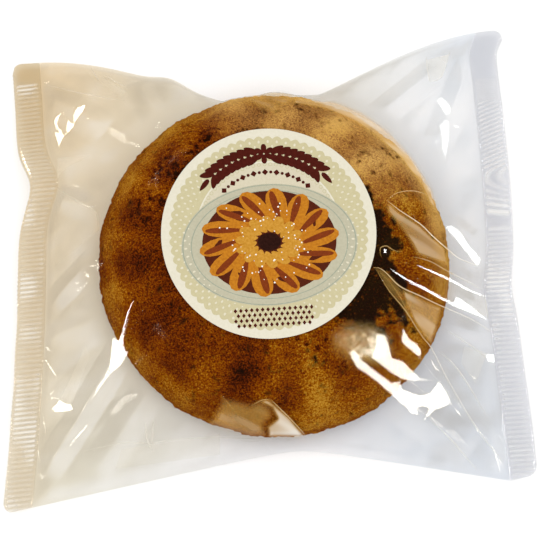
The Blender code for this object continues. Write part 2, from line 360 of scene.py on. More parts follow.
# softbox, or none for a milky veil painted in place of a reflection, strength, softness, and x and y of the
# outline's corners
glareFacets = (
    ("backLeft", 1.1, 0.7, -90, 87, -91, 82, -93, 80, -97, 76, -96, 83, -94, 85),
    ("backLeft", 1.1, 0.6, -103, 85, -106, 84, -108, 82, -107, 78, -105, 74, -106, 81),
    ("backLeft", 1.1, 0.6, -103, 85, -102, 82, -96, 76, -99, 74, -102, 72, -100, 79),
    ("backLeft", 1.1, 0.6, -106, 78, -104, 76, -102, 72, -105, 67, -108, 76, -105, 74),
    ("leftHigh", 1.1, 0.8, -79, -35, -76, -37, -74, -35, -68, -21, -72, -34, -73, -40, -71, -44, -75, -49,
     -81, -53, -81, -49, -80, -44),
    ("leftHigh", 1.1, 0.8, -81, -49, -81, -53, -86, -58, -92, -65, -88, -58, -84, -54),
    ("leftHigh", 1.1, 0.4, -109, -61, -106, -63, -103, -64, -101, -67, -110, -67, -113, -65, -110, -63),
    ("leftHigh", 0.6, 1, -93, -1, -89, -3, -89, -7, -91, -5),
    ("rightHigh", 1.1, 0.3, 50.5, -4.5, 51.8, -4.5, 52, -6.2, 50.8, -6.6),
    ("rightHigh", 0.95, 1.3, 82, 9, 86, 10, 91, 8, 97, 1, 101, -2, 103, -5, 100, -9, 97, -6, 90, 1),
    ("rightHigh", 1.1, 0.7, 83, -29, 86, -25, 94, -29, 103, -34, 97, -33),
    ("rightHigh", 1.1, 0.4, 101, -51.5, 106, -51.5, 106, -55.5, 102, -55),
    ("backRight", 0.7, 0.8, 87, 79, 90, 80, 93, 76, 94, 71, 91, 68, 89, 72),
    ("backRight", 0.4, 1.2, 90, 67, 92, 65, 92, 58, 87, 41, 86, 50, 86, 63),
    (None, 0.55, 1.5, 14, 79, 33, 79, 48, 69, 61, 56, 71, 42, 79, 27, 81, 14, 77, 14, 72, 28, 63, 41, 54,
     51, 43, 61, 29, 69, 13, 72),
    (None, 0.4, 3, -12, 77, -7, 85, 1, 91, 8, 94, 15, 91, 18, 76, 12, 70, 8, 66, 6, 61, -4, 69),
    (None, 0.5, 1.5, 53, 18, 56, 18, 60, 14, 70, 8, 76, 3, 83, -2, 83, -12, 73, -10, 66, -8, 62, -1, 58, 6,
     53, 13),
    (None, 0.2, 0.6, 46, -13, 51, -15, 57, -22, 62, -39, 56, -31, 51, -24),
    (None, 0.55, 1.5, 57, -22, 70, -27, 79, -30, 75, -41, 72, -48, 67, -45, 62, -38, 58, -31),
    (None, 0.42, 3, -29, -66, -22, -68, -16, -70, -10, -69, -5, -73, -4, -78, -8, -81, -8, -86, -16, -87,
     -27, -84, -38, -79, -32, -71),
    (None, 0.85, 1.3, -12, -70, -8, -69, -6, -70, 3, -78, 10, -86, 7, -87, -8, -86, -9, -81, -4, -78, -6,
     -74, -10, -72),
    (None, 0.5, 6, 20, -42, 30, -35, 44, -36, 54, -43, 56, -54, 46, -60, 33, -61, 21, -52),
    (None, 0.5, 2, 33, -50, 42, -50, 47, -55, 50, -60, 43, -58, 36, -55),
    ("frontRight", 0.14, 6, 22, -40, 32, -35, 46, -37, 54, -44, 54, -54, 44, -58, 34, -60, 22, -48),
    ("frontRight", 0.4, 4, 36, -43, 42, -39, 50, -42, 52, -50, 46, -56, 38, -52),
    ("frontRight", 0.9, 2.5, 32, -52, 36, -50, 43, -48, 47, -45, 49, -52, 45, -56, 39, -54, 34, -56),
    ("frontRight", 1.1, 0.6, 31, -51, 34, -50, 37, -55, 45, -61, 51, -65, 55, -64, 56, -68, 59, -70, 57,
     -76, 44, -65, 34, -58, 32, -54),
    ("frontRight", 1.1, 0.7, 44, -43, 49, -44, 51, -51, 52, -54, 57, -55, 65, -63, 74, -65, 57, -64, 51,
     -61, 41, -54, 43, -50),
    ("frontRight", 1.1, 0.5, 55, -64, 56, -68, 59, -69, 65, -71, 70, -70, 74, -65, 77, -69, 79, -73, 79,
     -76, 72, -78, 66, -83, 69, -77, 66, -76, 63, -77, 64, -80, 60, -79, 54, -72),
    ("frontRight", 1.1, 0.4, 57, -41, 59, -44, 60, -46, 64, -48, 66, -51, 65, -54, 58, -49, 56, -47),
)
# softbox, half width, strength, and x and y of places
glareLines = (
    ("leftHigh", 0.45, 1, -67, -20, -70, -25, -73, -32, -75, -38),
    ("leftHigh", 0.35, 0.8, -94, -74, -99, -79, -104, -84),
    ("leftHigh", 0.3, 0.8, -114, -60, -111.5, -60, -108.5, -60.5),
    ("leftHigh", 0.35, 1, -114, -59, -111.5, -56),
    ("rightHigh", 0.75, 1.1, 53, -14, 58, -18, 64, -21, 72, -24, 80, -27, 89, -30, 103, -34),
    ("rightHigh", 0.7, 1.1, 66, -12, 73, -14, 84, -17, 94, -21, 103, -23),
    ("frontRight", 0.35, 1, 33, -51, 36, -50, 40, -49, 44, -49),
    ("frontRight", 0.5, 1, 71, -55.5, 72.5, -58, 74.5, -60.5),
    ("leftHigh", 0.35, 0.7, -115.5, -34, -111.5, -37.5),
    ("leftHigh", 0.35, 0.7, -116, -40, -112, -46, -109, -51),
    ("leftHigh", 0.35, 0.6, -118, -68, -116, -77),
    ("leftHigh", 0.35, 0.6, -121.5, -83, -120, -90),
    ("frontRight", 0.4, 1, 78.5, -72.5, 80.5, -76),
    ("frontRight", 0.4, 1, 82, -77.5, 85, -81.5),
    ("frontRight", 0.35, 0.8, 92, -88, 94.5, -89.5),
    ("frontRight", 0.35, 0.6, 91.5, -61, 94.5, -64),
    ("frontRight", 0.35, 0.8, 101, -97, 104, -108),
    ("rightHigh", 0.35, 0.7, 104.5, -91, 107, -93.5),
    ("backRight", 0.4, 0.8, 94.5, 64, 97, 63.5),
)

# Film stretched over the cake, with the folds of real film

film = {
    "columns": 60,
    "rows": 56,
    "relaxSteps": 1200,
    "clearance": 0.5,
    "puff": 0.04,
    "fine": 3,
    # start, end, height and half width
    "creases": (
        ((54, 22), (104, 4), 3.5, 6),
        ((52, 6), (108, -24), 5, 6),
        ((48, -14), (106, -30), 5.5, 6),
        ((50, -30), (102, -44), 3, 6),
        ((50, -36), (112, -110), 5.5, 8),
        ((30, -54), (90, -98), 5, 10),
        ((-58, -20), (-118, -96), 6, 8),
        ((-52, -48), (-92, -96), 1.6, 9),
        ((-84, 26), (-118, 48), 5.5, 6),
        ((-80, 8), (-112, -14), 4, 7),
        ((-80, 70), (-118, 104), 5, 9),
        ((84, 52), (110, 104), 5, 8),
        ((52, 64), (92, 100), 3.5, 8),
        ((-50, 66), (-66, 100), 4, 7),
        ((-8, -62), (20, -90), 3, 7),
        ((-10, -62), (-36, -92), 3, 7),
    ),
    # corner spacing, lengthening away from the cake, height and seed
    "facets": ((15, 2.2, 1.1, 5), (7, 1.5, 0.35, 6)),
    "facetStart": 56,
    "facetEnd": 190,
    "facetRadius": 95,
    "rimFade": 0.07,
    "shine": 0.15,
    # the way the light comes from, for the painted shade and light on the film's facets
    "paintedLightWay": (3.0, -4.0),
    "calmSteps": 120,
    # where the film is painted paler, as painted light (darker where the share is below zero): place, width
    # and share
    "paintedLighter": ((5, -100, 38, 0.9), (92, 78, 32, 1.0), (88, -80, 28, -0.5)),
}


def creaseHeight(x, y, start, end, height, halfWidth):
    begin = np.array(start)
    span = np.array(end) - begin
    length = np.hypot(*span)
    along = ((x - begin[0]) * span[0] + (y - begin[1]) * span[1]) / length**2
    off = ((x - begin[0]) * span[1] - (y - begin[1]) * span[0]) / length
    taper = np.sin(np.pi * np.clip(along, 0, 1)) ** 0.7
    return height * taper * np.clip(1 - np.sqrt((off / halfWidth) ** 2 + 0.004), 0, 1)


def aroundMean(values):
    mean = values.copy()
    mean[1:-1, 1:-1] = (values[:-2, 1:-1] + values[2:, 1:-1] + values[1:-1, :-2] + values[1:-1, 2:]) / 4
    return mean


def relaxed(height, floor, fixed, puff, steps):
    sheet = height.copy()
    for _ in range(steps):
        sheet = np.where(fixed, height, np.maximum(aroundMean(sheet) + puff, floor))
    return sheet


def rimHeight(x, y):
    # height of the film's edge along the seals and the long sides
    seam = np.where(x < 0, seamHeight(y, -1), seamHeight(y, 1))
    toSeal = np.clip((np.abs(x - 0.5 * (bag["leftEdge"] + bag["rightEdge"])) - 60) / 52, 0, 1)
    heights = bag["sideHeight"] + (seam - bag["sideHeight"]) * toSeal**2
    heights[0], heights[-1] = seam[0], seam[-1]
    return heights


def onRim(shape):
    rim = np.ones(shape, bool)
    rim[1:-1, 1:-1] = False
    return rim


def finer(values, factor, axes=(0, 1)):
    # Catmull-Rom steps between the points of a grid or a line
    for axis in axes:
        count = values.shape[axis]
        places = np.arange((count - 1) * factor + 1) / factor
        low = np.minimum(places.astype(int), count - 2)
        part = (places - low).reshape([-1 if a == axis else 1 for a in range(values.ndim)])
        p = [np.take(values, np.clip(low + step, 0, count - 1), axis=axis) for step in (-1, 0, 1, 2)]
        bend = 2 * p[0] - 5 * p[1] + 4 * p[2] - p[3] + part * (3 * (p[1] - p[2]) + p[3] - p[0])
        values = p[1] + 0.5 * part * (p[2] - p[0] + part * bend)
    return values


def facetHeight(x, y, spacing, stretch, height, seed):
    chance = np.random.default_rng(seed)
    corners = []
    reach = film["facetStart"]
    count = int(math.tau * film["facetRadius"] / spacing)
    while reach < film["facetEnd"]:
        turns = (np.arange(-3, count + 4) + 0.5 * (len(corners) % 2)) * math.tau / count
        turns = turns + chance.uniform(-0.35, 0.35, len(turns)) * math.tau / count
        out = reach + chance.uniform(-0.35, 0.35, len(turns)) * spacing * stretch
        corners += [(turn * film["facetRadius"], place / stretch) for turn, place in zip(turns, out)]
        reach += spacing * stretch
    made = delaunay_2d_cdt([Vector(corner) for corner in corners], [], [], 0, 0.0001)
    spots = np.array([tuple(corner) for corner in made[0]])
    rise = chance.uniform(-1, 1, len(spots)) * height
    across = (np.arctan2(y, x) % math.tau) * film["facetRadius"]
    out = np.hypot(x, y) / stretch
    total = np.zeros(x.shape)
    for face in made[2]:
        a, b, c = spots[face]
        toShares = np.linalg.inv(np.array([b - a, c - a]).T)
        s, t = np.tensordot(toShares, np.array([across - a[0], out - a[1]]), 1)
        within = (s >= 0) & (t >= 0) & (s + t <= 1)
        level = (1 - s - t) * rise[face[0]] + s * rise[face[1]] + t * rise[face[2]]
        total[within] = level[within]
    return total


def insideDepth(x, y, ring):
    # distance to an outline, below zero outside it
    nearest = np.full(x.shape, 1e3)
    within = np.zeros(x.shape, bool)
    for a, b in zip(ring, np.roll(ring, -1, axis=0)):
        span = b - a
        share = np.clip(((x - a[0]) * span[0] + (y - a[1]) * span[1]) / (span @ span), 0, 1)
        nearest = np.minimum(nearest, np.hypot(x - a[0] - share * span[0], y - a[1] - share * span[1]))
        if a[1] != b[1]:
            crossing = a[0] + (y - a[1]) * span[0] / span[1]
            within ^= ((a[1] > y) != (b[1] > y)) & (x < crossing)
    return np.where(within, nearest, -nearest)


def aimed(points, name):
    # the normal that throws a softbox into the lens
    places = (points + (*cake["middle"], 0)) / 1000
    half = np.zeros(points.shape)
    for end in (boxPlace(name)[0], studio["lens"]):
        way = np.array(end) - places
        half += way / np.linalg.norm(way, axis=-1, keepdims=True)
    return half / np.linalg.norm(half, axis=-1, keepdims=True)


def filmFloor(x, y):
    # the film bridges the grooves, and the stiff label presses it into a shallow dome
    return np.maximum(cakeTop(x, y) + film["clearance"], labelSeat(x, y))


def upperFilm():
    x, y = filmPlan()
    fixed = onRim(x.shape) | (labelSeat(x, y) > 0)
    puff = np.where(cakeTop(x, y) > 0, 0, film["puff"])
    start = np.where(onRim(x.shape), rimHeight(x, y), filmFloor(x, y))
    height = finer(relaxed(start, filmFloor(x, y), fixed, puff, film["relaxSteps"]), film["fine"])
    x, y = filmPlan(film["fine"])
    height = np.where(labelSeat(x, y) > 0, labelSeat(x, y), height)
    free = smoothStep(fromLabel(x, y), label["radius"] + label["margin"], label["radius"] + 9)
    for axis, count in enumerate(x.shape):
        inward = smoothStep(1 - np.abs(np.linspace(-1, 1, count)), 0, film["rimFade"])
        free = free * np.expand_dims(inward, 1 - axis)
    for crease in film["creases"]:
        height = height + free * creaseHeight(x, y, *crease)
    free = free * (0.25 + 0.75 * smoothStep(fromCake(x, y), 70, 90))
    for level in film["facets"]:
        height = height + free * facetHeight(x, y, *level)
    height = np.maximum(height, np.maximum(filmFloor(x, y), 0.6))
    return np.stack([x, y, np.where(onRim(x.shape), rimHeight(x, y), height)], axis=-1)


def underFilm():
    # taut from the rim to the flat patch under the cake, with a few soft waves
    x, y = filmPlan()
    low = np.full(x.shape, 0.15)
    fixed = onRim(x.shape) | (fromCake(x, y) < 84)
    height = relaxed(np.where(onRim(x.shape), rimHeight(x, y), low), low, fixed, -0.012, 600)
    flat = np.stack([x, y, 0 * x], axis=-1)
    waves = softNoise(flat, 15, 21) * 0.9 + softNoise(flat, 6, 22) * 0.3
    flat[..., 2] = height + waves * np.clip(height / 4, 0, 1) * ~fixed
    points = finer(flat, film["fine"])
    x, y = filmPlan(film["fine"])
    rim = onRim(x.shape)
    points[rim] = np.stack([x, y, rimHeight(x, y)], axis=-1)[rim]
    return points


def filmLayers(points, paintedShadeStrength):
    # how sharply the film is bent, how it shines, and the painted shade and light: how far each facet leans
    # to the light's way, plus painted paler spots
    beside = beyond(points, 87, 97)
    bend = 4 * np.linalg.norm(aroundMean(points) - points, axis=-1)
    normal = np.cross(np.gradient(points, axis=0), np.gradient(points, axis=1))
    slope = normal[..., :2] / normal[..., 2:]
    calm = slope
    for _ in range(film["calmSteps"]):
        calm = aroundMean(calm)
    lean = np.clip((slope - calm) @ film["paintedLightWay"], -1, 1)
    for x, y, width, share in film["paintedLighter"]:
        lean += share * spot(points, x, y, width)
    shine = film["shine"] * (0.15 + 0.85 * beyond(points, 74, 86))
    return {"fold": np.clip(bend * 1.5, 0, 1) * beside, "lean": paintedShadeStrength * lean * beside, "shine": shine}


upperPoints, underPoints = upperFilm(), underFilm()
inside = ~onRim(upperPoints.shape[:2])
over, under = upperPoints[..., 2], underPoints[..., 2]
under[inside] = np.maximum(np.minimum(under, over - 0.2), 0.1)[inside]
over[inside] = np.maximum(over, under + 0.15)[inside]
print("film settled")


# Materials


def clearFilmMaterial(name, tintsAndLightCast, milkiness, roughness, relief):
    # polypropylene film, 30 micrometres: clear, milky at its folds, with sharp glossy glare
    material, add = newMaterial(name)
    place = add("TexCoord", (), "Object")
    parts = add("SeparateXYZ", (place,)).node.outputs
    lean, shine, folded = (add("Attribute", (), "Fac", attribute_name=n) for n in ("lean", "shine", "fold"))
    # painted light: the film's colour cast runs from warm at the far left corner to cool at the right,
    # painted in place of warm light from the left and cool light from the right
    slant = add("Math", (parts["Y"], -0.45, parts["X"]), operation="MULTIPLY_ADD")
    tintAndLightCast = add("ValToRGB", (add("MapRange", (slant, -0.15, 0.06)),), stops=tintsAndLightCast)
    # drawn film: low ripples that run out from the cake, 3 mm apart and 25 mm long
    middle = (cake["middle"][0] / 1000, cake["middle"][1] / 1000, 0)
    away = add("VectorMath", (place, middle), operation="SUBTRACT")
    flat = add("VectorMath", (away, (1, 1, 0)), operation="MULTIPLY")
    reach = add("VectorMath", (flat,), "Value", operation="LENGTH")
    way = add("VectorMath", (flat,), operation="NORMALIZE")
    turned = add("VectorMath", {0: way, "Scale": 95 / 3}, operation="SCALE")
    along = add("CombineXYZ", {"Z": add("Math", (reach, 1000 / 25), operation="MULTIPLY")})
    streaks = add("VectorMath", (turned, along), operation="ADD")
    ripple = add("TexNoise", {"Vector": streaks, "Scale": 1, "Detail": 2})
    bent = add("Bump", {"Height": ripple, "Strength": relief, "Distance": 0.0003})
    facing = add("LayerWeight", {"Blend": 0.5, "Normal": bent}, "Facing")
    # seen at a slant the film is thicker, so its cast is deeper
    deeper = add("Mix", {0: facing, 6: tintAndLightCast, 7: "#fbfaf7"}, 2, data_type="RGBA")
    # painted shade: facets are darker away from the light's way, and painted light makes them a little milky
    # towards it
    shaded = add("Math", (lean, -0.35), operation="MULTIPLY", use_clamp=True)
    paintedShadeTint = add("Mix", {0: shaded, 6: deeper, 7: "#cfc9bf"}, 2, data_type="RGBA")
    paintedLightShare = add("Math", (lean, 0.8), operation="MULTIPLY", use_clamp=True)
    clear = add("BsdfTransparent", (add("Mix", {0: paintedLightShare, 6: paintedShadeTint, 7: "#ffffff"}, 2, data_type="RGBA"),))
    # film that clings to the crumb shines less
    steep = add("Math", (facing, 5.0), operation="POWER")
    bare = add("Math", (steep, 0.7, 0.048), operation="MULTIPLY_ADD")
    mirror = add("Math", (bare, shine), operation="MULTIPLY")
    aim = add("Attribute", (), "Vector", attribute_name="aim")
    turning = add("VectorMath", (aim,), "Value", operation="LENGTH")
    bent = add("Mix", {0: turning, 4: bent, 5: aim}, 1, data_type="VECTOR")
    cloud = add("TexNoise", {"Vector": place, "Scale": 60, "Detail": 3})
    dull = add("MapRange", {"Value": cloud, "To Min": roughness * 0.7, "To Max": roughness * 1.6})
    looks = ({"Color": "#ffffff", "Roughness": rough, "Normal": bent} for rough in (dull, 0.36))
    glosses = [add("BsdfGlossy", look, distribution="BECKMANN") for look in looks]
    glazed = add("MixShader", (mirror, clear, add("MixShader", (0.12, *glosses))))
    pressed = add("Math", (folded, milkiness[1], milkiness[0]), operation="MULTIPLY_ADD")
    # painted light: a little milk on facets that lean towards the light
    lit = add("Math", (lean, 0.08), operation="MULTIPLY", use_clamp=True)
    milk = add("Math", (pressed, lit), operation="ADD")
    # painted reflection: over the crust a thin veil of film is painted golden, and only the thick of a fold
    # white
    beside = add("MapRange", (reach, 0.083, 0.09))
    dense = add("MapRange", (folded, 0.3, 0.9))
    thick = add("Math", (dense, beside), operation="ADD", use_clamp=True)
    paintedVeil = add("Mix", {0: thick, 6: "#e4b25a", 7: milkiness[2]}, 2, data_type="RGBA")
    body = add("MixShader", (milk, glazed, add("BsdfDiffuse", (paintedVeil,))))
    add("OutputMaterial", {"Surface": body})
    return material


# the tints carry a painted warm-to-cool light cast from left to right
filmTintsAndLightCast = ((0, "#f6eee0"), (0.45, "#f5f3ed"), (1, "#f2f4f7"))
pleatTintsAndLightCast = ((0, "#fffcf6"), (0.45, "#fffefc"), (1, "#feffff"))
sealTintsAndLightCast = ((0, "#f2e8d5"), (0.45, "#f8f4ec"), (1, "#f4f5f8"))
filmMaterial = clearFilmMaterial("polypropyleneFilm", filmTintsAndLightCast, (0, 0.03, "#f6f6f8"), 0.07, 0.5)
sealMaterial = clearFilmMaterial("polypropyleneSeal", sealTintsAndLightCast, (0.02, 0.8, "#f6f4ef"), 0.08, 0.1)
pleatMaterial = clearFilmMaterial("polypropylenePleat", pleatTintsAndLightCast, (0, 1, "#f3ecdf"), 0.08, 0.1)


def crustMaterial():
    # baked sponge crust: dry and matt, golden to red-brown, with a fine open crumb
    material, add = newMaterial("bakedSpongeCrust")
    place = add("TexCoord", (), "Object")
    baked, cocoa, paintedSheen = (add("Attribute", (), "Fac", attribute_name=n) for n in ("bake", "cocoa", "paintedSheen"))
    # blotches 11 mm across, crumb of 1.1 mm and grain of 0.7 mm
    blotch = add("TexNoise", {"Vector": place, "Scale": 90, "Detail": 4})
    crumb = add("TexNoise", {"Vector": place, "Scale": 900, "Detail": 3})
    grain = add("TexNoise", {"Vector": place, "Scale": 1500, "Detail": 1})
    tone = baked
    for noise, share in ((blotch, 0.45), (crumb, 1.1), (grain, 1.2)):
        tone = add("Math", (noise, share, tone), operation="MULTIPLY_ADD")
    level = add("Math", (tone, 1.41), operation="SUBTRACT")
    browns = ((0, "#290e02"), (0.25, "#5e2001"), (0.5, "#7e3a00"), (0.75, "#9c5b02"), (1, "#c48d29"))
    colour = add("ValToRGB", (level,), stops=browns)
    # the painted sheen sits on the high crumbs and leaves the pits dark
    paintedSheenShare = add("Math", (paintedSheen, add("MapRange", (tone, 1.35, 2.15))), operation="MULTIPLY")
    paintedLighter = add("Mix", {0: paintedSheenShare, 6: colour, 7: "#f2c271"}, 2, data_type="RGBA")
    mingled = add("Math", (crumb, 1.4, cocoa), operation="MULTIPLY_ADD")
    chocolate = add("MapRange", {"Value": mingled, "From Min": 0.8, "From Max": 1.6, "To Max": 0.97})
    dark = add("Mix", {0: chocolate, 6: paintedLighter, 7: "#140a04"}, 2, data_type="RGBA")
    pores = add("TexVoronoi", {"Vector": place, "Scale": 900})
    pitted = add("Math", (pores, 0.5, crumb), operation="MULTIPLY_ADD")
    relief = add("Bump", {"Height": pitted, "Strength": 0.8, "Distance": 0.0005})
    rough = add("MapRange", {"Value": crumb, "To Min": 0.7, "To Max": 0.95})
    look = {"Base Color": dark, "Roughness": rough, "Normal": relief, "Specular IOR Level": 0.03}
    add("OutputMaterial", {"Surface": add("BsdfPrincipled", look)})
    return material


def paperMaterial(name, colour, second, roughness):
    # coated label paper or its printed ink: smooth, with a faint fibre mottle
    material, add = newMaterial(name)
    place = add("TexCoord", (), "Object")
    mottle = add("TexNoise", {"Vector": place, "Scale": 900, "Detail": 4})
    tone = add("ValToRGB", (mottle,), stops=((0.3, colour), (0.7, second)))
    relief = add("Bump", {"Height": mottle, "Strength": 0.15, "Distance": 0.0001})
    dull = add("MapRange", {"Value": mottle, "To Min": roughness, "To Max": roughness + 0.15})
    look = {"Base Color": tone, "Roughness": dull, "Normal": relief, "Specular IOR Level": 0.1}
    add("OutputMaterial", {"Surface": add("BsdfPrincipled", look)})
    return material


# The film as one closed shell

shell = bmesh.new()
for points, paintedShadeStrength in ((upperPoints, 1), (underPoints, 0.6)):
    below = gridSheet(shell, points, filmLayers(points, paintedShadeStrength))
bmesh.ops.reverse_faces(shell, faces=list({face for vertex in below for face in vertex.link_faces}))
rim = [vertex for vertex in shell.verts if vertex.is_boundary]
for edge in shell.edges:
    edge.smooth = not edge.is_boundary
bmesh.ops.remove_doubles(shell, verts=rim, dist=0.001)
finishPiece("film", shell, filmMaterial, "bag")
print("film built")


def filmLevel(x, y):
    columns, rows = upperPoints.shape[0] - 1, upperPoints.shape[1] - 1
    across = 2 * (y - nearSide(x)) / (farSide(x) - nearSide(x)) - 1
    left, right = innerLines(across)
    column = np.clip((x - left) / (right - left), 0, 1) * columns
    row = np.clip((across + 1) / 2, 0, 1) * rows
    i = np.minimum(column.astype(int), columns - 1)
    j = np.minimum(row.astype(int), rows - 1)
    u, v = column - i, row - j
    near, far = (upperPoints[i, j + k, 2] * (1 - u) + upperPoints[i + 1, j + k, 2] * u for k in (0, 1))
    return near * (1 - v) + far * v


# thin pressed pleats: half width, milkiness, and x and y of places
pleats = (
    (0.45, 0.6, 54, 19, 58, 22, 63, 24, 69, 25, 75, 24, 80, 21),
    (0.55, 0.95, 54, 19, 60, 14, 70, 8, 76, 3, 83, -2, 90, -6, 101, -8),
    (0.4, 0.6, 64, -8, 73, -10, 84, -14, 102, -20),
    (0.4, 0.5, 49, -8, 49, -4, 52, -3, 55, -5, 59, -6),
    (0.45, 0.6, 103, -23, 104, -34),
    (0.45, 0.6, 46, -13, 51, -23, 57, -31, 67, -44, 72, -50, 80, -66, 93, -88, 106, -104),
    (0.45, 0.8, 45, -13, 49, -14, 57, -22, 70, -27, 79, -30, 94, -35, 105, -40),
    (0.35, 0.4, 48, -15, 55, -24, 60, -34, 65, -41),
    (0.4, 0.5, 76, -51, 84, -58, 91, -68, 99, -82),
    (0.4, 0.4, 80, -41, 88, -45, 98, -51, 106, -57),
    (0.4, 0.4, 70, -83, 80, -92, 93, -107),
    (0.3, 0.3, -97, -87, -79, -84, -65, -85, -45, -84, -11, -86),
    (0.4, 0.3, -107, 46, -96, 35, -85, 27),
    (0.4, 0.4, -85, 27, -84, 22, -84, 17),
    (0.4, 0.35, -112, 103, -90, 94, -70, 87),
    (0.35, 0.4, -89, 112, -84, 102),
    (0.35, 0.4, -82, 107, -70, 97),
    (0.4, 0.45, 86, 106, 85, 96, 85, 89),
    (0.4, 0.45, 99, 109, 92, 93, 85, 89),
    (0.35, 0.5, -66, -76, -66, -83, -64, -89),
    (0.35, 0.5, -62, -75, -64, -85),
    (0.4, 0.7, -6, -70, 2, -78, 10, -86),
    (0.35, 0.5, -6, -70, -10, -70, -15, -72),
    (0.3, 0.3, -29, -66, -25, -71, -22, -75),
    (0.35, 0.25, 6, 59, -2, 69, -8, 88),
)
# folded panels painted milky in place of reflected light: milkiness at each corner, and x and y of the
# corners
panels = (
    (0.1, 0.15, 0.15, 0.05, -107, 46, -85, 27, -84, 17, -109, 5),
    (0.12, 0.2, 0.1, 0.12, -107, 47, -106, 61, -87, 58, -106, 54),
    (0.05, 0.15, 0.2, 0.08, -92, 110, -83, 106, -70, 94, -73, 90),
    (0.15, 0.08, 0.14, 0.2, -108, -61, -93, -37, -91, -42, -102, -64),
    (0.12, 0.12, 0.08, 0.05, -79, -87, -31, -83, -32, -92, -83, -96),
    (0.12, 0.2, 0.1, 0.12, 89, -48, 102, -51, 94, -66, 87, -56),
    (0.2, 0.35, 0.2, 0.1, 86, 104, 98, 107, 92, 93, 85, 89),
    (0.05, 0.15, 0.25, 0.15, 68, -14, 103, -23, 103, -33, 79, -27),
)


def glareLayers(points, share, box, shine):
    # bright film that faces a softbox, or milky film painted in place of a reflected veil
    return {"aim": aimed(points, box), "shine": share} if box else {"fold": share, "shine": 0 * share + shine}


def pleat(mesh, box, halfWidth, strength, *places):
    # a thin raised line of film: milky, or bright with the light of a softbox
    line = finer(np.reshape(places, (-1, 2)) * 1.0, 14, (0,))
    way = np.gradient(line, axis=0)
    way /= np.hypot(way[:, 0], way[:, 1])[:, None]
    taper = np.sin(np.pi * np.linspace(0.06, 0.94, len(line)))[:, None] ** 0.5
    steps = np.array([-1, -0.5, 0, 0.5, 1])
    side = np.stack([-way[:, 1], way[:, 0]], axis=1)[:, None]
    flat = line[:, None] + side * (steps * halfWidth * taper)[..., None]
    rise = (1 - np.abs(steps)) * (0.1 if box else glare["pleatHeight"]) * taper
    level = filmLevel(flat[..., 0], flat[..., 1]) + rise + glare["lineLift"]
    points = np.dstack([flat, level])[:, ::-1]
    share = (1 - np.abs(steps)) ** 0.7 * strength * taper
    gridSheet(mesh, points, glareLayers(points, share, box, 0.2))


def glareFacet(mesh, lift, box, strength, softness, *outline):
    # a facet of film that fades out at its edge
    ring = np.reshape(outline, (-1, 2)) * 1.0
    low, high = ring.min(axis=0) - 0.5, ring.max(axis=0) + 0.5
    x, y = np.meshgrid(*(np.arange(*ends, glare["step"]) for ends in zip(low, high)), indexing="ij")
    points = np.stack([x, y, filmLevel(x, y) + lift], axis=-1)
    # a wide soft one is mottled by the crumb under it, and a folded one has streaks
    mottled = softness > 3
    grain = points / glare["patch"] if mottled else points @ np.array(glare["streaks"])
    patchy = 1 - (0.45 if mottled else 0 if box else 0.3) * smoothStep(softNoise(grain, 1, 63), -0.8, 0.8)
    share = strength * patchy * smoothStep(insideDepth(x, y, ring), -0.4, 1.6 * softness) ** 1.5
    made = gridSheet(mesh, points, glareLayers(points, share, box, 0))
    store = mesh.verts.layers.float["shine" if box else "fold"]
    faces = {face for vertex in made for face in vertex.link_faces}
    dark = [face for face in faces if not any(vertex[store] for vertex in face.verts)]
    bmesh.ops.delete(mesh, geom=dark, context="FACES")


def panel(mesh, *places):
    # its milkiness and corners blend across it
    u, v = np.meshgrid(np.linspace(0, 1, 25), np.linspace(0, 1, 25), indexing="ij")
    a, b, c, d = np.column_stack([np.reshape(places[4:], (4, 2)), places[:4]])
    u, v = u[..., None], v[..., None]
    spots = (a * (1 - u) + b * u) * (1 - v) + (d * (1 - u) + c * u) * v
    level = filmLevel(spots[..., 0], spots[..., 1]) + glare["panelLift"]
    gridSheet(mesh, np.dstack([spots[..., :2], level]), glareLayers(spots, spots[..., 2], None, 0.05))


pleatMesh = bmesh.new()
for line in pleats:
    pleat(pleatMesh, None, *line)
for line in glareLines:
    pleat(pleatMesh, *line)
for index, facet in enumerate(glareFacets):
    glareFacet(pleatMesh, glare["lift"] + glare["liftStep"] * index, *facet)
for sheet in panels:
    panel(pleatMesh, *sheet)
faceUp(pleatMesh)
finishPiece("filmPleats", pleatMesh, pleatMaterial, "bag")
print("pleats built")

# The two crimped end seals

seal = {
    "columns": 14,
    "rows": 720,
    "pitch": 2.3,
    "ribHeight": 0.2,
    "thickness": 0.14,
    "tooth": 0.35,
    # lean of the ribs, y where they end, and how strongly they are pressed, which also sets their painted
    # glints
    "left": {"tilt": 0.05, "farTilt": 0, "reach": 105, "patches": (0.45, 0.95), "least": 0.15, "most": 0.5},
    "right": {"tilt": 0, "farTilt": 0.36, "reach": 93, "patches": (0.3, 0.9), "least": 0.2, "most": 0.3},
}


